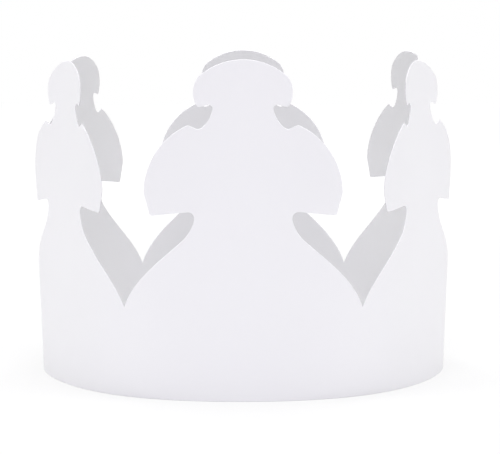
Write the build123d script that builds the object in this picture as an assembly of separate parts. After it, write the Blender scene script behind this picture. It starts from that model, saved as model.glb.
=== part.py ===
from build123d import *
import math
import os

# A paper crown: one long card strip, cut along its top into six equal points, bent
# into a ring and glued where its two ends lap. Millimetres, Z up, the points' tips on top.
# The front point faces -Y. The lap is at the back, on the right as seen from the front.

# Card strip
point_count = 6
point_pitch = 97.0          # card from one valley to the next, measured round the ring
card_thickness = 0.35
band_height = 35.0          # bottom edge to the valleys

# Bend of the ring, where 0 would be a true circle
base_oval = 0.27            # extra bend at front and back, along the bottom edge
base_facet = 0.2            # bend taken from the points into the valleys, bottom edge
tip_oval = 0.25             # the same two at the tips, where the points spring flat
tip_facet = 1.9
tip_spread = 2.8            # how much the pitch opens out from the bottom to the tips
bend_panels = 12            # smooth surfaces that one point's bend is made of

# Outline of one point, from the valley up
skirt_rise = 38.2           # valley to the waist, just under the hem
waist_width = 36.9
waist_flare = 5.1           # the waist's hollow runs out this far to each side
waist_drop = 11.5           # and this low, before the long skirt begins
skirt_slope = 3.3           # how steeply the skirt runs down into the valley
hem_droop = 1.9             # the hem's outer corner hangs this much lower than its inner end
hem_inset = 2.4             # and lies this far inside the widest place
tier_width = 76.6
tier_bulge_rise = 8.7       # hem's outer corner to the widest place
tier_rise = 33.1            # inner end of the hem to the crest beside the neck
crest_offset = 9.6          # neck to crest, sideways
notch_offset = 5.5          # neck to the lowest place of the hollow beside it
notch_depth = 1.9
neck_width = 23.0
neck_rise = 8.0             # crest to the top of the neck
cap_width = 38.2
cap_rise = 16.9             # top of the neck to the tip of the point
lip_inset = 1.8             # the cap's lower corners lie this far inside its widest place
lip_drop = 1.3              # and hang this far below the top of the neck
cap_bulge_rise = 5.7        # lower corners to the cap's widest place
temple_inset = 1.9          # where the round top of the cap turns into its sides
temple_drop = 6.5
corner_round = 1.0          # rounding of the corners that stand out
cap_round = 1.4             # and of those that go in: under the cap
notch_round = 2.2           # in the hollow beside the neck
waist_round = 2.7           # under the hem
bulge_round = 6.0           # rounding of the widest place

# Cutting: each cut runs past its valley, rising more steeply than the skirt beyond it
valley_overcut = 0.8
overcut_steepness = 1.4     # how many times as steep as that skirt

# Lap where the two ends of the strip are glued
end_past_centre = 8.5       # the last point is cut off this far past its centre line
lap_length = 24.0           # how far the plain tab runs on behind the last point
glue_film = 0.05
step_length = 14.0          # length in which the tab steps inwards behind the last point

# Worked out from the sizes above
hem_height = band_height + skirt_rise
crest_height = hem_height + tier_rise
neck_height = crest_height + neck_rise
crown_height = neck_height + cap_rise
blank_height = crown_height + corner_round         # card before its top is cut to shape
frame_top = blank_height + corner_round            # cutters reach past the card's top
overcut_height = band_height + valley_overcut * skirt_slope * overcut_steepness
strip_length = point_count * point_pitch
cutter_reach = point_pitch / 4                     # and this far in and out of its flat plane

# Points are counted from the front, to the right. The strip starts at the cut end of
# point 2, goes once round the back and the front, and ends in the tab behind that point.
first_point = 2
strip_start = first_point * point_pitch - end_past_centre
last_valley = (first_point - 0.5) * point_pitch + strip_length
step_end = strip_start + strip_length - glue_film
tab_end = step_end + lap_length


class PlanCurve:
    """Closed curve seen from above, followed by the length of card along it."""

    fine_steps = 1200

    def __init__(self, pitch, oval, facet):
        self.length = point_count * pitch
        self.oval = oval
        self.facet = facet
        self.fine = self.length / self.fine_steps
        place = Vector(0, 0)
        self.places = [place]
        for i in range(self.fine_steps):
            place = place + self.direction((i + 0.5) * self.fine) * self.fine
            self.places.append(place)
        # Whatever gap is left where the curve closes is shared out along it
        gap = place
        self.places = [p - gap * (i / self.fine_steps) for i, p in enumerate(self.places)]
        self.centre = Vector(0, self.places[self.fine_steps // 2].Y / 2)

    def heading(self, distance):
        angle = 2 * math.pi * distance / self.length
        bend = self.oval / 2 * math.sin(2 * angle)
        return angle + bend - self.facet / point_count * math.sin(point_count * angle)

    def direction(self, distance):
        return Vector(math.cos(self.heading(distance)), math.sin(self.heading(distance)))

    def outward(self, distance):
        return Vector(math.sin(self.heading(distance)), -math.cos(self.heading(distance)))

    def place(self, distance):
        around = distance % self.length
        i = min(int(around / self.fine), self.fine_steps - 1)
        rest = around - i * self.fine
        return self.places[i] + self.direction(i * self.fine + rest / 2) * rest - self.centre


base_curve = PlanCurve(point_pitch, base_oval, base_facet)
tip_curve = PlanCurve(point_pitch + tip_spread, tip_oval, tip_facet)


def card_place(distance, height, outward=0.0):
    """Place on the bent card, at a length along the strip and a height above its bottom edge."""
    tip_distance = distance * tip_curve.length / base_curve.length
    base = base_curve.place(distance) + base_curve.outward(distance) * outward
    tip = tip_curve.place(tip_distance) + tip_curve.outward(tip_distance) * outward
    share = height / crown_height
    return base * (1 - share) + tip * share + Vector(0, 0, height)


def card_run(distance, height):
    """Direction in which the card runs there, as long as a step of one along the strip."""
    stretch = tip_curve.length / base_curve.length
    share = height / crown_height
    base = base_curve.direction(distance)
    return base * (1 - share) + tip_curve.direction(distance * stretch) * stretch * share


def card_side(stations, height, side):
    """Edges of the bent card at one height, seen from above, on its outer (1) or inner (-1) side."""
    edges = []
    for (start, start_inset), (end, end_inset) in zip(stations, stations[1:]):
        first = card_place(start, height, side * card_thickness / 2 - start_inset)
        last = card_place(end, height, side * card_thickness / 2 - end_inset)
        reach = (end - start) / 3
        handles = [first + card_run(start, height) * reach, last - card_run(end, height) * reach]
        edges.append(Bezier(first, *handles, last))
    return edges


def strip_wall(stations, height):
    """Solid stretch of bent card through stations, each a distance and how far inwards it lies."""
    sections = []
    for z in (0, height):
        outer = card_side(stations, z, 1)
        inner = card_side(stations, z, -1)
        ends = [Line(outer[0] @ 0, inner[0] @ 0), Line(outer[-1] @ 1, inner[-1] @ 1)]
        sections.append(make_face([*outer, *inner, *ends]))
    return loft(sections, ruled=True)


def point_outline(valley_half):
    """Right half of one point's cut line, from the tip down to the valley beside it."""
    cap_half = cap_width / 2
    neck_half = neck_width / 2
    tier_half = tier_width / 2
    waist_half = waist_width / 2

    tip = (0, crown_height)
    temple = (cap_half - temple_inset, crown_height - temple_drop)
    lip = (cap_half - lip_inset, neck_height - lip_drop)
    cap_widest = (cap_half, lip[1] + cap_bulge_rise)
    neck_top = (neck_half, neck_height)
    notch = (neck_half + notch_offset, crest_height - notch_depth)
    crest = (neck_half + crest_offset, crest_height)
    hem_corner = (tier_half - hem_inset, hem_height - hem_droop)
    tier_widest = (tier_half, hem_corner[1] + tier_bulge_rise)
    waist = (waist_half, hem_height)
    skirt_top = (waist_half + waist_flare, hem_height - waist_drop)
    valley = (valley_half, band_height)

    dome = TangentArc(tip, temple, tangent=(1, 0))
    cheek = ThreePointArc(temple, cap_widest, lip)
    cap_underside = Line(lip, neck_top)
    neck = TangentArc(neck_top, notch, tangent=(0, -1))
    notch_side = Line(notch, crest)
    shoulder = TangentArc(tier_widest, crest, tangent=(0, 1))
    tier_side = Line(tier_widest, hem_corner)
    hem = Line(hem_corner, waist)
    waist_hollow = TangentArc(waist, skirt_top, tangent=(0, -1))
    skirt = Spline([skirt_top, valley], tangents=[waist_hollow % 1, (1, -skirt_slope)])
    outline = Curve() + [
        dome, cheek, cap_underside, neck, notch_side, shoulder,
        tier_side, hem, waist_hollow, skirt,
    ]
    return outline, {lip: corner_round, crest: corner_round, hem_corner: corner_round,
                     neck_top: cap_round, notch: notch_round,
                     waist: waist_round, tier_widest: bulge_round}


def half_pitches(number, height):
    """Flat distances from a point's centre line to the valleys on its right and left."""
    centre = number * point_pitch
    along = base_curve.direction(centre)
    middle = card_place(centre, height)
    right = (card_place(centre + point_pitch / 2, height) - middle).dot(along)
    left = (middle - card_place(centre - point_pitch / 2, height)).dot(along)
    return right, left


def point_waste(number):
    """Card around one point that is cut away, as a flat face."""
    right_half, left_half = half_pitches(number, band_height)
    right_top, left_top = half_pitches(number, frame_top)
    right, right_rounds = point_outline(right_half)
    left, left_rounds = point_outline(left_half)
    frame = Polyline(
        (right_half, band_height),
        (right_half + valley_overcut, overcut_height),
        (right_top + valley_overcut, frame_top),
        (-left_top - valley_overcut, frame_top),
        (-left_half - valley_overcut, overcut_height),
        (-left_half, band_height),
    )
    waste = make_face([*right.edges(), *frame.edges(), *left.mirror(Plane.YZ).edges()])
    rounds = dict(right_rounds)
    rounds.update({(-x, y): radius for (x, y), radius in left_rounds.items()})
    for (x, y), radius in rounds.items():
        corner = waste.vertices().sort_by_distance((x, y, 0))[0]
        waste = fillet(corner, radius)
    return waste


def cut_point(number):
    """Cutter for one point, square to the card at the point's centre line."""
    centre = number * point_pitch
    plane = Plane(
        origin=card_place(centre, 0),
        x_dir=base_curve.direction(centre),
        z_dir=base_curve.outward(centre),
    )
    return extrude(plane * point_waste(number), cutter_reach, both=True)


def crown_strip():
    panels = point_count * bend_panels
    panel_length = (last_valley - strip_start) / panels
    bends = [(strip_start + i * panel_length, 0) for i in range(panels + 1)]
    strip = strip_wall(bends, blank_height)
    for number in range(first_point, first_point + point_count):
        strip -= cut_point(number)
    inset = card_thickness + glue_film
    lap = [(last_valley, 0), (step_end - step_length, 0), (step_end, inset), (tab_end, inset)]
    return strip + strip_wall(lap, band_height)


os.makedirs("parts", exist_ok=True)
crown = crown_strip()
box = crown.bounding_box()
crown = Pos(-box.center().X, -box.center().Y, -box.min.Z) * crown
crown.label = "crown_strip"
export_step(crown, "parts/crown_strip.step")
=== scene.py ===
import math

import bpy
from mathutils import Matrix, Vector
from mathutils.geometry import delaunay_2d_cdt


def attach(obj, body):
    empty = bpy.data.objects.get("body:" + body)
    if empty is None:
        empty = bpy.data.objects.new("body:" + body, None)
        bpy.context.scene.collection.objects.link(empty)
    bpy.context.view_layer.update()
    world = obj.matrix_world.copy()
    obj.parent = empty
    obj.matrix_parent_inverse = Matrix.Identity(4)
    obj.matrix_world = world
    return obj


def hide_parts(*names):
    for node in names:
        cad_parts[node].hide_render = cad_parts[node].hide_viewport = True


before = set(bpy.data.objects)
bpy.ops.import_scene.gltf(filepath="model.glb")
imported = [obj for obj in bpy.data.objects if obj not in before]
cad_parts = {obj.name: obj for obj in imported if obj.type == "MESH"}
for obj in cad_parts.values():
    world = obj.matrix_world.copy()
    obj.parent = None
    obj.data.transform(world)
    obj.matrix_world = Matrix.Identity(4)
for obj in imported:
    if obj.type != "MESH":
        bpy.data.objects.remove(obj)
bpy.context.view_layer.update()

# A white card crown: one strip with six points, bent into a ring and glued at the back.
# Metres, Z up, the front point faces -Y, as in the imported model.
mm = 0.001
print("frame loaded:", ", ".join(sorted(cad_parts)))


# A Wire is one socket that does arithmetic. A Bench makes any other node from its type,
# its settings and what goes into its sockets.
class Wire:
    def __init__(self, bench, socket):
        self.bench = bench
        self.socket = socket

    def other(self, name):
        return Wire(self.bench, self.bench.find(self.socket.node.outputs, name))

    def __add__(self, other):
        return self.bench.maths("ADD", self, other)

    def __sub__(self, other):
        return self.bench.maths("SUBTRACT", self, other)

    def __rsub__(self, other):
        return self.bench.maths("SUBTRACT", other, self)

    def __mul__(self, other):
        return self.bench.maths("MULTIPLY", self, other)

    def __truediv__(self, other):
        return self.bench.maths("DIVIDE", self, other)

    def __lt__(self, other):
        return self.bench.maths("LESS_THAN", self, other)

    __radd__ = __add__
    __rmul__ = __mul__


class Bench:
    def __init__(self, tree):
        self.tree = tree
        self.tree.nodes.clear()

    def find(self, sockets, key):
        if isinstance(key, int):
            return sockets[key]
        return next((s for s in sockets if s.identifier == key), None) or sockets[key]

    def add(self, kind, settings=None, inputs=None, out=0):
        node = self.tree.nodes.new(kind)
        row, column = divmod(len(self.tree.nodes), 12)
        node.location = (190 * column, -240 * row)        # in rows, to be read in the editor
        for name, value in (settings or {}).items():
            setattr(node, name, value)
        for key, value in (inputs or {}).items():
            socket = self.find(node.inputs, key)
            if isinstance(value, Wire):
                self.tree.links.new(value.socket, socket)
            else:
                socket.default_value = value
        return Wire(self, self.find(node.outputs, out)) if node.outputs else node

    def maths(self, operation, first, second=0.0):
        return self.add("ShaderNodeMath", {"operation": operation}, {0: first, 1: second})

    def vectorMaths(self, operation, first, second=None, scale=None):
        inputs = {0: first}
        if second is not None:
            inputs[1] = second
        if scale is not None:
            inputs["Scale"] = scale
        return self.add("ShaderNodeVectorMath", {"operation": operation}, inputs)

    def mixColour(self, share, first, second):
        inputs = {"Factor_Float": share, "A_Color": first, "B_Color": second}
        return self.add("ShaderNodeMix", {"data_type": "RGBA"}, inputs, "Result_Color")

    def mixVector(self, share, first, second):
        inputs = {"Factor_Float": share, "A_Vector": first, "B_Vector": second}
        return self.add("ShaderNodeMix", {"data_type": "VECTOR"}, inputs, "Result_Vector")


# The camera stands in front and a little above, as in the photograph
camera = dict(
    place=(0.0, -1.0220, 0.14796),
    tiltDown=4.990,        # degrees
    turnRight=0.161,
    roll=0.110,
    lens=174.52,           # mm, on a sensor this wide
    sensor=36.0,
    nearest=0.05, farthest=50.0,
)


def makeCamera():
    data = bpy.data.cameras.new("camera")
    data.lens = camera["lens"]
    data.sensor_width = camera["sensor"]
    data.clip_start = camera["nearest"]
    data.clip_end = camera["farthest"]
    holder = bpy.data.objects.new("camera", data)
    turn = Matrix.Rotation(math.radians(-camera["turnRight"]), 4, "Z")
    tilt = Matrix.Rotation(math.radians(90 - camera["tiltDown"]), 4, "X")
    roll = Matrix.Rotation(math.radians(-camera["roll"]), 4, "Z")
    holder.matrix_world = Matrix.Translation(camera["place"]) @ turn @ tilt @ roll
    bpy.context.scene.collection.objects.link(holder)
    bpy.context.scene.camera = holder


makeCamera()
print("camera made")


# The card, in millimetres. Widths are measured straight across a bent point, as on the CAD
# solid; the pitch and the lap are lengths of flat card.
card = dict(
    pitch=97.0,            # one valley to the next
    bandHeight=35.0,
    height=131.2,
    thickness=0.35,
    skirtRise=38.2, waistWidth=36.9, waistFlare=5.1, waistDrop=11.5, skirtSlope=3.3,
    hemDroop=1.9, hemInset=2.4,
    tierWidth=76.6, bulgeRise=8.7, tierRise=33.1,
    crestOffset=9.6, notchOffset=5.5, notchDepth=1.9,
    neckWidth=23.0, neckRise=8.0,
    capWidth=38.2, lipInset=1.8, lipDrop=1.3, capBulgeRise=5.7, templeInset=1.9, templeDrop=6.5,
    cornerRound=1.0, capRound=1.4, notchRound=2.2, waistRound=2.7, bulgeRound=6.0,
    edgeStep=1.0,          # spacing of the mesh along the cut line
    gridStep=2.4,          # and inside it
    cornerStep=0.35,       # and round a small corner, as a share of its radius
    edgeClear=0.62,        # inner mesh points keep this share of gridStep from the cut line
    endClear=0.45,         # and this share from the line where the strip's end is cut
    endRows=55,            # mesh rows along that line
    rimRound=0.14,         # the die crushes the cut's two edges over this much
    rimAngle=60, sharpAngle=30,        # degrees: what counts as a cut edge, and as a sharp one
)

# The ring that it is bent into
ring = dict(
    points=6,
    firstPoint=2,                      # the strip starts and ends here, counted from the front
    baseOval=0.27, baseFacet=0.2,      # bend along the bottom edge
    tipOval=0.25, tipFacet=1.9,        # and at the tips, where the points spring flat
    tipSpread=2.8,
    endPastCentre=8.5,                 # the last point is cut off this far past its centre
    lapLength=24.0, stepLength=14.0, glueFilm=0.05,
    railSteps=1200, tabColumns=36,
    weld=0.02, seamWeld=0.005,         # points nearer than this become one: flat, then thick
    backLift=0.9, backSwell=1.5,       # the tips stand a little uneven: up at the back,
    sideDip=2.0,                       # down at the sides,
    endSpringOut=2.3, endSpringUp=1.9,    # and the strip's cut end springs outwards and up
    ripple=0.5, rippleScale=11.0,
)


def spread(first, last, step):
    # points on a straight line, without its last one
    count = max(1, round((last - first).length / step))
    return [first.lerp(last, i / count) for i in range(count)]


def arcAbout(centre, first, turn, step):
    # points on an arc that starts at first and turns about centre, without its last one
    count = max(2, round(abs(turn) * (first - centre).length / step))
    return [centre + Matrix.Rotation(turn * i / count, 2) @ (first - centre) for i in range(count)]


def tangentArc(first, last, heading, step):
    # arc from first to last that leaves first along the heading
    chord = last - first
    side = Vector((-heading[1], heading[0]))
    centre = first + side * (chord.length_squared / (2 * chord.dot(side)))
    turn = (first - centre).angle_signed(last - centre)
    return arcAbout(centre, first, -turn, step)


def arcThrough(first, middle, last, step):
    # arc through three points
    a, b = middle - first, last - first
    cross = 2 * (a.x * b.y - a.y * b.x)
    centre = first + Vector((b.y * a.length_squared - a.y * b.length_squared,
                             a.x * b.length_squared - b.x * a.length_squared)) / cross
    turn = (first - centre).angle_signed(last - centre)
    return arcAbout(centre, first, -turn, step)


def bentSkirt(first, last, startHeading, endHeading, step):
    # cubic from first to last that leaves and arrives along the two headings
    chord = (last - first).length
    count = round(chord / step)
    places = []
    for i in range(count):
        t = i / count
        leaving = first * (2 * t**3 - 3 * t**2 + 1) + startHeading * chord * (t**3 - 2 * t**2 + t)
        arriving = last * (3 * t**2 - 2 * t**3) + endHeading * chord * (t**3 - t**2)
        places.append(leaving + arriving)
    return places


def along(line, start, distance, way):
    # walks from line[start] one way or the other, and says where it ends and past which points
    here = line[start]
    passed = []
    while True:
        start += way
        leg = (line[start] - here).length
        if leg >= distance:
            return here.lerp(line[start], distance / leg), passed
        distance -= leg
        here = line[start]
        passed.append(start)


def roundCorners(line, corners):
    # replaces each corner of the line by a small arc
    pieces = {}
    dropped = set()
    for corner, radius in corners:
        at = min(range(len(line)), key=lambda i: (line[i] - Vector(corner)).length)
        turn = (line[at] - line[at - 1]).angle(line[at + 1] - line[at])
        reach = radius * math.tan(turn / 2)
        first, before = along(line, at, reach, -1)
        last, after = along(line, at, reach, 1)
        heading = (line[at] - first).normalized()
        pieces[at] = tangentArc(first, last, heading, radius * card["cornerStep"]) + [last]
        dropped.update(before + after)
    kept = []
    for i, place in enumerate(line):
        if i in pieces:
            kept.extend(pieces[i])
        elif i not in dropped:
            kept.append(place)
    return kept


def acrossPoint(length, height):
    # how far straight across the front point a length of card reaches, at one height
    share = height / card["height"]
    stretch = 1 + ring["tipSpread"] / card["pitch"]
    steps = 40
    across = 0
    for i in range(steps):
        angle = 2 * math.pi * length * (i + 0.5) / steps / (ring["points"] * card["pitch"])
        base = angle + ring["baseOval"] / 2 * math.sin(2 * angle)
        base -= ring["baseFacet"] / ring["points"] * math.sin(ring["points"] * angle)
        tips = angle + ring["tipOval"] / 2 * math.sin(2 * angle)
        tips -= ring["tipFacet"] / ring["points"] * math.sin(ring["points"] * angle)
        across += ((1 - share) * math.cos(base) + share * stretch * math.cos(tips)) * length / steps
    return across


def lengthToReach(across, height):
    # the other way round, closing in on the answer
    length = across
    rounds = 6
    for _ in range(rounds):
        length += across - acrossPoint(length, height)
    return length


def halfOutline():
    # right half of one point's cut line, from the tip down to the valley
    c = card
    step = c["edgeStep"]
    capHalf, neckHalf = c["capWidth"] / 2, c["neckWidth"] / 2
    tierHalf, waistHalf = c["tierWidth"] / 2, c["waistWidth"] / 2
    hemHeight = c["bandHeight"] + c["skirtRise"]
    crestHeight = hemHeight + c["tierRise"]
    neckHeight = crestHeight + c["neckRise"]

    tip = Vector((0, c["height"]))
    temple = Vector((capHalf - c["templeInset"], c["height"] - c["templeDrop"]))
    lip = Vector((capHalf - c["lipInset"], neckHeight - c["lipDrop"]))
    capWidest = Vector((capHalf, lip.y + c["capBulgeRise"]))
    neckTop = Vector((neckHalf, neckHeight))
    notch = Vector((neckHalf + c["notchOffset"], crestHeight - c["notchDepth"]))
    crest = Vector((neckHalf + c["crestOffset"], crestHeight))
    hemCorner = Vector((tierHalf - c["hemInset"], hemHeight - c["hemDroop"]))
    tierWidest = Vector((tierHalf, hemCorner.y + c["bulgeRise"]))
    waist = Vector((waistHalf, hemHeight))
    skirtTop = Vector((waistHalf + c["waistFlare"], hemHeight - c["waistDrop"]))
    valley = Vector((acrossPoint(c["pitch"] / 2, c["bandHeight"]), c["bandHeight"]))

    # the shoulder leaves the widest place straight up, so it is made from there and turned round
    shoulder = tangentArc(tierWidest, crest, (0, 1), step) + [crest]
    hollow = tangentArc(waist, skirtTop, (0, -1), step)
    skirtHeading = Vector((1, -c["skirtSlope"])).normalized()
    # the hollow starts straight down, so it ends along that heading mirrored in its chord
    chord = skirtTop - waist
    hollowEnd = Vector((2 * chord.x * chord.y, chord.y**2 - chord.x**2)).normalized() * -1

    line = tangentArc(tip, temple, (1, 0), step)
    line += arcThrough(temple, capWidest, lip, step)
    line += spread(lip, neckTop, step)
    line += tangentArc(neckTop, notch, (0, -1), step)
    line += spread(notch, crest, step)
    line += shoulder[:0:-1]
    line += spread(tierWidest, hemCorner, step)
    line += spread(hemCorner, waist, step)
    line += hollow
    line += bentSkirt(skirtTop, valley, hollowEnd, skirtHeading, step)
    line.append(valley)
    return roundCorners(line, [
        (lip, c["cornerRound"]), (neckTop, c["capRound"]), (notch, c["notchRound"]),
        (crest, c["cornerRound"]), (tierWidest, c["bulgeRound"]), (hemCorner, c["cornerRound"]),
        (waist, c["waistRound"]),
    ])


def flatPoint():
    # one flat point with its stretch of band: its outline, the mesh points inside it, and
    # the line where the strip's end is cut
    half = card["pitch"] / 2
    right = [Vector((lengthToReach(p.x, p.y), p.y)) for p in halfOutline()]
    foot = Vector((half, 0))
    bandSide = spread(right[-1], foot, card["gridStep"])[1:] + [foot]
    bottom = spread(foot, Vector((-half, 0)), card["gridStep"])[1:]
    left = [Vector((-p.x, p.y)) for p in reversed(right[1:] + bandSide)]
    outline = right + bandSide + bottom + left
    edges = [(i, (i + 1) % len(outline)) for i in range(len(outline))]

    inside = []
    step = card["gridStep"]
    columns = round(2 * half / step)
    rows = round(card["height"] / step)
    for i in range(1, columns):
        for j in range(1, rows):
            place = Vector((-half + 2 * half * i / columns, card["height"] * j / rows))
            if min((place - p).length for p in outline) > card["edgeClear"] * step:
                inside.append(place)
    end = -ring["endPastCentre"]
    rows = card["endRows"]
    cut = [Vector((end, card["height"] * k / rows)) for k in range(rows + 1)]
    return outline, edges, inside, cut


def makeFlatMesh():
    outline, edges, inside, cut = flatPoint()
    clear = card["endClear"] * card["gridStep"]
    inside = [p for p in inside if abs(p.x + ring["endPastCentre"]) > clear]
    start = len(outline) + len(inside)
    edges = edges + [(start + k, start + k + 1) for k in range(len(cut) - 1)]
    places = outline + inside + cut
    whole = [list(range(len(outline)))]
    insideOnly, tolerance = 1, 1e-4
    verts, _, faces, _, _, _ = delaunay_2d_cdt(places, edges, whole, insideOnly, tolerance)
    mesh = bpy.data.meshes.new("flatPoint")
    mesh.from_pydata([(v.x * mm, 0, v.y * mm) for v in verts], [], [tuple(f) for f in faces])
    mesh.validate()
    return mesh


flatMesh = makeFlatMesh()
print("flat point:", len(flatMesh.vertices), "vertices,", len(flatMesh.polygons), "faces")


def railOf(bench, pitch, points, oval, facet, steps):
    # the ring's line seen from above: short steps along its heading, added up and centred
    angle = (bench.add("GeometryNodeInputIndex") + 0.5) * (2 * math.pi / steps)
    heading = (angle + bench.maths("SINE", angle * 2) * oval / 2
               - bench.maths("SINE", angle * points) * facet / points)
    stride = pitch * points / steps
    move = bench.add("ShaderNodeCombineXYZ", None, {
        "X": bench.maths("COSINE", heading) * stride,
        "Y": bench.maths("SINE", heading) * stride,
    })
    walked = bench.add("GeometryNodeAccumulateField", {
        "data_type": "FLOAT_VECTOR", "domain": "POINT"}, {"Value": move}, "Trailing")
    line = bench.add("GeometryNodeMeshLine", {"mode": "OFFSET"}, {"Count": steps + 1})
    line = bench.add("GeometryNodeSetPosition", None, {"Geometry": line, "Position": walked})
    box = bench.add("GeometryNodeBoundBox", None, {"Geometry": line}, "Min")
    middle = bench.mixVector(0.5, box, box.other("Max"))
    centred = bench.add("GeometryNodeSetPosition", None, {
        "Geometry": line, "Offset": bench.vectorMaths("SCALE", middle, scale=-1.0)})
    return bench.add("GeometryNodeMeshToCurve", None, {"Mesh": centred})


def bendingTree(inputs):
    # repeats the flat point along the strip, cuts its end, adds the plain tab, bends it all
    # into the ring and gives the card its thickness
    tree = bpy.data.node_groups.new("bentCard", "GeometryNodeTree")
    tree.interface.new_socket(name="Geometry", in_out="INPUT", socket_type="NodeSocketGeometry")
    kinds = {int: "NodeSocketInt", float: "NodeSocketFloat", bpy.types.Material: "NodeSocketMaterial"}
    for name, value in inputs.items():
        tree.interface.new_socket(name=name, in_out="INPUT", socket_type=kinds[type(value)])
    tree.interface.new_socket(name="Geometry", in_out="OUTPUT", socket_type="NodeSocketGeometry")
    bench = Bench(tree)
    given = bench.add("NodeGroupInput")
    points, pitch = given.other("Points"), given.other("Pitch")
    firstPoint = given.other("First Point")
    stripStart = pitch * firstPoint - given.other("End Past Centre")
    stripLength = pitch * points

    # the flat strip starts at its first point, so that the lap comes at the back on the right
    firstCentre = bench.add("ShaderNodeCombineXYZ", None, {"X": pitch * firstPoint})
    stride = bench.add("ShaderNodeCombineXYZ", None, {"X": pitch})
    centres = bench.add("GeometryNodeMeshLine", {"mode": "OFFSET"}, {
        "Count": points, "Start Location": firstCentre, "Offset": stride})
    repeated = bench.add("GeometryNodeInstanceOnPoints", None, {
        "Points": centres, "Instance": given.other("Geometry")})
    strip = bench.add("GeometryNodeRealizeInstances", None, {"Geometry": repeated})
    flatPlace = bench.add("GeometryNodeInputPosition")
    faceX = bench.add("ShaderNodeSeparateXYZ", None, {"Vector": flatPlace}, "X")
    strip = bench.add("GeometryNodeDeleteGeometry", {"domain": "FACE", "mode": "ALL"}, {
        "Geometry": strip, "Selection": faceX < stripStart})

    # the plain tab runs on from the last valley, behind the cut end
    tabStart = stripLength + pitch * (firstPoint - 0.5)
    tabEnd = stripStart + stripLength - given.other("Glue Film") + given.other("Lap Length")
    tabLength = tabEnd - tabStart
    bandHeight = given.other("Band Height")
    tabFlat = bench.add("GeometryNodeMeshGrid", None, {
        "Size X": tabLength, "Size Y": bandHeight,
        "Vertices X": given.other("Tab Columns"), "Vertices Y": given.other("Band Rows")})
    middle = bench.add("ShaderNodeCombineXYZ", None, {
        "X": tabStart + tabLength / 2, "Z": bandHeight / 2})
    tab = bench.add("GeometryNodeTransform", None, {
        "Geometry": tabFlat, "Translation": middle, "Rotation": (math.pi / 2, 0, 0)})
    joined = bench.add("GeometryNodeJoinGeometry")
    tree.links.new(strip.socket, joined.socket.node.inputs[0])
    tree.links.new(tab.socket, joined.socket.node.inputs[0])
    strip = bench.add("GeometryNodeMergeByDistance", None, {
        "Geometry": joined, "Distance": given.other("Weld")})

    # where each place of the flat strip lies on the ring's lines, at the bottom and at the tips
    flat = bench.add("ShaderNodeSeparateXYZ", None, {"Vector": flatPlace}, "X")
    height = flat.other("Z")
    share = height / given.other("Height")
    around = bench.maths("FLOORED_MODULO", flat, stripLength)
    spreadPitch = pitch + given.other("Tip Spread")
    steps = ring["railSteps"]
    base = railOf(bench, pitch, points, given.other("Base Oval"), given.other("Base Facet"), steps)
    tips = railOf(bench, spreadPitch, points, given.other("Tip Oval"), given.other("Tip Facet"), steps)
    onBase = bench.add("GeometryNodeSampleCurve", {"mode": "LENGTH"}, {
        "Curves": base, "Length": around}, "Position")
    onTips = bench.add("GeometryNodeSampleCurve", {"mode": "LENGTH"}, {
        "Curves": tips, "Length": around * spreadPitch / pitch}, "Position")

    # the tab steps inwards just before it reaches the cut end
    stepEnd = stripStart + stripLength - given.other("Glue Film")
    inset = bench.add("ShaderNodeMapRange", {"interpolation_type": "SMOOTHSTEP"}, {
        "Value": flat, "From Min": stepEnd - given.other("Step Length"), "From Max": stepEnd,
        "To Min": 0.0, "To Max": given.other("Thickness") + given.other("Glue Film")})
    run = bench.mixVector(share, onBase.other("Tangent"), onTips.other("Tangent"))
    outward = bench.vectorMaths("NORMALIZE", bench.vectorMaths("CROSS_PRODUCT", run, (0, 0, 1)))
    upright = bench.add("ShaderNodeCombineXYZ", None, {"Z": height})
    bent = bench.vectorMaths("ADD", bench.mixVector(share, onBase, onTips), upright)
    bent = bench.vectorMaths("ADD", bent, bench.vectorMaths("SCALE", outward, scale=inset * -1.0))

    # card is never quite even: the tips have settled, the cut end springs out, and a long,
    # faint ripple fades out at the bottom edge
    free = bench.add("ShaderNodeMapRange", {"interpolation_type": "SMOOTHSTEP"}, {
        "Value": height, "From Min": bandHeight, "From Max": given.other("Height")})
    aboveBand = bench.add("ShaderNodeMapRange", {"interpolation_type": "SMOOTHSTEP"}, {
        "Value": height, "From Min": bandHeight, "From Max": given.other("Hem Height")})
    cutPoint = (flat < pitch * (firstPoint + 0.5)) * aboveBand
    angle = around / stripLength * (2 * math.pi)
    sideways = bench.maths("SINE", angle)
    backwards = (1 - bench.maths("COSINE", angle)) * 0.5
    dip = sideways * sideways * given.other("Side Dip")
    lift = (backwards * given.other("Back Lift") - dip) * free
    lift = lift + backwards * bench.maths("SINE", free * math.pi) * given.other("Back Swell")
    lift = lift + cutPoint * given.other("End Spring Up")
    bent = bench.vectorMaths("ADD", bent, bench.add("ShaderNodeCombineXYZ", None, {"Z": lift}))
    wave = bench.add("ShaderNodeTexNoise", {"noise_dimensions": "3D"}, {
        "Vector": bent, "Scale": given.other("Ripple Scale"), "Detail": 1.0})
    sway = (wave - 0.5) * given.other("Ripple") * share + cutPoint * given.other("End Spring Out")
    half = given.other("Thickness") / 2
    inner = bench.vectorMaths("ADD", bent, bench.vectorMaths("SCALE", outward, scale=sway - half))

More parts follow.
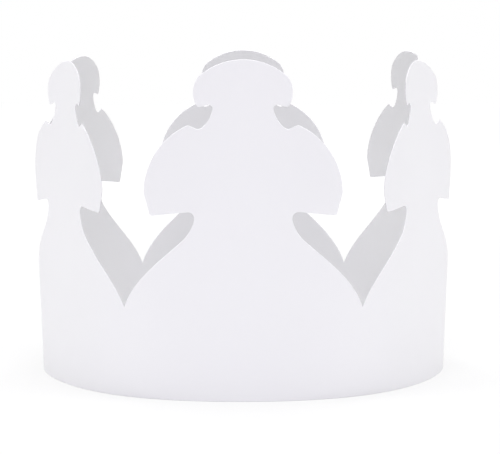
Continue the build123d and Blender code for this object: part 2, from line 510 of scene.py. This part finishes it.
    inside = bench.add("GeometryNodeSetPosition", None, {"Geometry": strip, "Position": inner})
    thick = bench.add("GeometryNodeExtrudeMesh", {"mode": "FACES"}, {
        "Mesh": inside, "Offset Scale": given.other("Thickness"), "Individual": False})
    backs = bench.add("GeometryNodeFlipFaces", None, {"Mesh": inside})
    shell = bench.add("GeometryNodeJoinGeometry")
    tree.links.new(thick.socket, shell.socket.node.inputs[0])
    tree.links.new(backs.socket, shell.socket.node.inputs[0])
    closed = bench.add("GeometryNodeMergeByDistance", None, {
        "Geometry": shell, "Distance": given.other("Seam Weld")})
    done = bench.add("GeometryNodeRealizeInstances", None, {"Geometry": closed})
    for side, faces in (("Card Back Painted Shade", None), ("Card", "Top"), ("Cut Edge Painted Shade", "Side")):
        paint = {"Geometry": done, "Material": given.other(side)}
        if faces:
            paint["Selection"] = thick.other(faces)
        done = bench.add("GeometryNodeSetMaterial", None, paint)
    bench.add("NodeGroupOutput", None, {"Geometry": done})
    return tree


# White card stock: a matt sheet with faint fibres, a back painted greyer as the shade inside the ring,
# and a cut edge painted darker as shade
stock = dict(
    front=dict(colour=(0.888, 0.885, 0.900, 1), shade=(0.866, 0.862, 0.880, 1)),
    # the back is the same card painted greyer: painted shade of the ring's inside
    back=dict(colour=(0.730, 0.728, 0.738, 1), shade=(0.700, 0.698, 0.708, 1)),
    # the cut edge is painted darker than the sheet, as shade; fibres vary it between these two tones
    edge=(0.40, 0.395, 0.41, 1),
    edgeDark=(0.30, 0.295, 0.31, 1),
    fibreScale=900.0, fibreDetail=4.0, fibreRoughness=0.7, fibreTwist=0.8,
    mottleScale=38.0, mottleDetail=3.0, mottleRoughness=0.55,
    frayScale=1600.0, frayDetail=3.0, frayRoughness=0.75,
    roughness=0.62, roughnessMore=0.12,       # where the fibres are lightest
    edgeRoughness=0.85,
    specular=0.15,
    bump=0.06, edgeBump=0.3, mottleBump=0.4,
    bumpDepth=0.05,                           # mm
)


def cardMaterial(name, side):
    material = bpy.data.materials.new(name)
    material.use_nodes = True
    bench = Bench(material.node_tree)
    place = bench.add("ShaderNodeTexCoord", None, None, "Object")
    mottle = bench.add("ShaderNodeTexNoise", None, {
        "Vector": place, "Scale": stock["mottleScale"], "Detail": stock["mottleDetail"],
        "Roughness": stock["mottleRoughness"]})
    fibre = bench.add("ShaderNodeTexNoise", None, {
        "Vector": place, "Scale": stock["fibreScale"], "Detail": stock["fibreDetail"],
        "Roughness": stock["fibreRoughness"], "Distortion": stock["fibreTwist"]})
    amount = mottle * 0.5 + fibre * 0.5
    colour = bench.mixColour(amount, side["colour"], side["shade"])
    normal = bench.add("ShaderNodeBump", None, {
        "Strength": stock["bump"], "Distance": stock["bumpDepth"] * mm,
        "Height": fibre + mottle * stock["mottleBump"]})
    shader = bench.add("ShaderNodeBsdfPrincipled", None, {
        "Base Color": colour, "Roughness": stock["roughness"] + fibre * stock["roughnessMore"],
        "Specular IOR Level": stock["specular"], "Normal": normal})
    bench.add("ShaderNodeOutputMaterial", None, {"Surface": shader})
    return material


def edgeMaterial():
    material = bpy.data.materials.new("cutEdgePaintedShade")
    material.use_nodes = True
    bench = Bench(material.node_tree)
    place = bench.add("ShaderNodeTexCoord", None, None, "Object")
    fray = bench.add("ShaderNodeTexNoise", None, {
        "Vector": place, "Scale": stock["frayScale"], "Detail": stock["frayDetail"],
        "Roughness": stock["frayRoughness"]})
    # painted shade on the cut edge, mixed between two dark tones by the fibres
    colour = bench.mixColour(fray, stock["edge"], stock["edgeDark"])
    normal = bench.add("ShaderNodeBump", None, {
        "Strength": stock["edgeBump"], "Distance": stock["bumpDepth"] * mm, "Height": fray})
    shader = bench.add("ShaderNodeBsdfPrincipled", None, {
        "Base Color": colour, "Roughness": stock["edgeRoughness"],
        "Specular IOR Level": stock["specular"], "Normal": normal})
    bench.add("ShaderNodeOutputMaterial", None, {"Surface": shader})
    return material


def makeCrown():
    rows = len(spread(Vector((0, card["bandHeight"])), Vector((0, 0)), card["gridStep"])) + 1
    inputs = {
        "Points": ring["points"], "First Point": ring["firstPoint"],
        "Band Rows": rows, "Tab Columns": ring["tabColumns"],
        "Weld": ring["weld"] * mm, "Seam Weld": ring["seamWeld"] * mm,
        "Pitch": card["pitch"] * mm,
        "Height": card["height"] * mm, "Band Height": card["bandHeight"] * mm,
        "Hem Height": (card["bandHeight"] + card["skirtRise"]) * mm,
        "Thickness": card["thickness"] * mm, "Glue Film": ring["glueFilm"] * mm,
        "End Past Centre": ring["endPastCentre"] * mm, "Lap Length": ring["lapLength"] * mm,
        "Step Length": ring["stepLength"] * mm, "Tip Spread": ring["tipSpread"] * mm,
        "Base Oval": ring["baseOval"], "Base Facet": ring["baseFacet"],
        "Tip Oval": ring["tipOval"], "Tip Facet": ring["tipFacet"],
        "Back Lift": ring["backLift"] * mm, "Back Swell": ring["backSwell"] * mm,
        "Side Dip": ring["sideDip"] * mm,
        "End Spring Out": ring["endSpringOut"] * mm, "End Spring Up": ring["endSpringUp"] * mm,
        "Ripple": ring["ripple"] * mm, "Ripple Scale": ring["rippleScale"],
        "Card": cardMaterial("whiteCard", stock["front"]),
        # the back's material paints the shade inside the ring into its colour
        "Card Back Painted Shade": cardMaterial("cardBackPaintedShade", stock["back"]), "Cut Edge Painted Shade": edgeMaterial(),
    }
    tree = bendingTree(inputs)
    slots = ("Card", "Cut Edge Painted Shade", "Card Back Painted Shade")
    for side in slots:
        flatMesh.materials.append(inputs[side])
    flat = bpy.data.objects.new("flatCard", flatMesh)
    bpy.context.scene.collection.objects.link(flat)
    bend = flat.modifiers.new("bend", "NODES")
    bend.node_group = tree
    for socket in tree.interface.items_tree:
        if socket.in_out == "INPUT" and socket.name in inputs:
            bend[socket.identifier] = inputs[socket.name]
    rim = flat.modifiers.new("rim", "BEVEL")
    rim.width = card["rimRound"] * mm
    rim.segments = 1
    rim.limit_method = "ANGLE"
    rim.angle_limit = math.radians(card["rimAngle"])
    rim.use_clamp_overlap = False
    rim.material = slots.index("Cut Edge Painted Shade")
    evaluated = flat.evaluated_get(bpy.context.evaluated_depsgraph_get())
    mesh = bpy.data.meshes.new_from_object(evaluated)
    bpy.data.objects.remove(flat)
    mesh.name = "crownCard"
    mesh.shade_smooth()
    mesh.set_sharp_from_angle(angle=math.radians(card["sharpAngle"]))
    crown = bpy.data.objects.new("crown_card", mesh)
    bpy.context.scene.collection.objects.link(crown)
    return crown


crown = makeCrown()
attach(crown, "root")
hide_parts("crown_strip")
print("crown:", len(crown.data.vertices), "vertices,", len(crown.data.polygons), "faces")


# Plain studio: a pale floor, an even sky and four pairs of large soft lamps high up
studio = dict(
    floorSize=6.0,
    floorColour=(0.80, 0.80, 0.80, 1),     # what it throws back on the card
    floorShown=(0.20, 0.20, 0.20, 1),      # what the camera sees of that, with a glow on top: it
    glowNear=0.72, glowFar=0.90,           # looks white and still keeps the crown's soft shadow
    glowStart=0.25, glowEnd=1.2,
    sky=(1.0, 1.0, 1.0, 1),
    skyStrength=0.50,                      # on the card, and 1 for the camera
    lampSize=0.8,
    lampAim=(0, 0, 0.07),
    lamps=dict(
        front=dict(place=(0.4, -1.2, 1.0), power=1.95, tint=(0.85, 0.80, 1.0)),
        side=dict(place=(1.1, -0.3, 0.9), power=2.4, tint=(1.0, 1.0, 0.99)),
        back=dict(place=(0.6, 1.2, 0.9), power=2.8, tint=(1.0, 1.0, 0.99)),
        above=dict(place=(0.15, 0.0, 1.0), power=4.5, tint=(1.0, 1.0, 1.0)),
    ),
)


def shownDirectly(bench):
    # 1 where the camera sees the surface itself, in a reflection or through something clear
    path = bench.add("ShaderNodeLightPath", None, None, "Is Camera Ray")
    mirrored = bench.maths("MAXIMUM", path.other("Is Glossy Ray"), path.other("Is Transmission Ray"))
    return bench.maths("MAXIMUM", path, mirrored)


def makeFloor():
    half = studio["floorSize"] / 2
    mesh = bpy.data.meshes.new("floor")
    corners = [(-half, -half, 0), (half, -half, 0), (half, half, 0), (-half, half, 0)]
    mesh.from_pydata(corners, [], [(0, 1, 2, 3)])
    material = bpy.data.materials.new("paleFloor")
    material.use_nodes = True
    bench = Bench(material.node_tree)
    shown = shownDirectly(bench)
    matt = bench.add("ShaderNodeBsdfDiffuse", None, {
        "Color": bench.mixColour(shown, studio["floorColour"], studio["floorShown"])})
    place = bench.add("ShaderNodeTexCoord", None, None, "Object")
    away = bench.add("ShaderNodeMapRange", {"interpolation_type": "SMOOTHSTEP"}, {
        "Value": bench.vectorMaths("LENGTH", place).other("Value"),
        "From Min": studio["glowStart"], "From Max": studio["glowEnd"]})
    near, far = ((studio[name],) * 3 + (1,) for name in ("glowNear", "glowFar"))
    glow = bench.add("ShaderNodeEmission", None, {
        "Color": bench.mixColour(away, near, far), "Strength": shown})
    both = bench.add("ShaderNodeAddShader", None, {0: matt, 1: glow})
    bench.add("ShaderNodeOutputMaterial", None, {"Surface": both})
    mesh.materials.append(material)
    floor = bpy.data.objects.new("floor", mesh)
    bpy.context.scene.collection.objects.link(floor)


def makeSky():
    world = bpy.data.worlds.new("studioSky")
    world.use_nodes = True
    bench = Bench(world.node_tree)
    soft = studio["skyStrength"]
    sky = bench.add("ShaderNodeBackground", None, {
        "Color": studio["sky"], "Strength": shownDirectly(bench) * (1 - soft) + soft})
    bench.add("ShaderNodeOutputWorld", None, {"Surface": sky})
    bpy.context.scene.world = world


def addLamp(name, lamp, side):
    x, y, z = lamp["place"]
    data = bpy.data.lights.new(name, "AREA")
    data.shape = "SQUARE"
    data.size = studio["lampSize"]
    data.energy = lamp["power"]
    data.color = lamp["tint"]
    holder = bpy.data.objects.new(name, data)
    holder.location = (side * x, y, z)
    aim = Vector(studio["lampAim"]) - holder.location
    holder.rotation_euler = aim.to_track_quat("-Z", "Y").to_euler()
    bpy.context.scene.collection.objects.link(holder)


makeFloor()
makeSky()
for name, lamp in studio["lamps"].items():
    addLamp(name + "Left", lamp, -1)
    addLamp(name + "Right", lamp, 1)
bpy.context.scene.view_settings.view_transform = "Standard"
print("studio made")
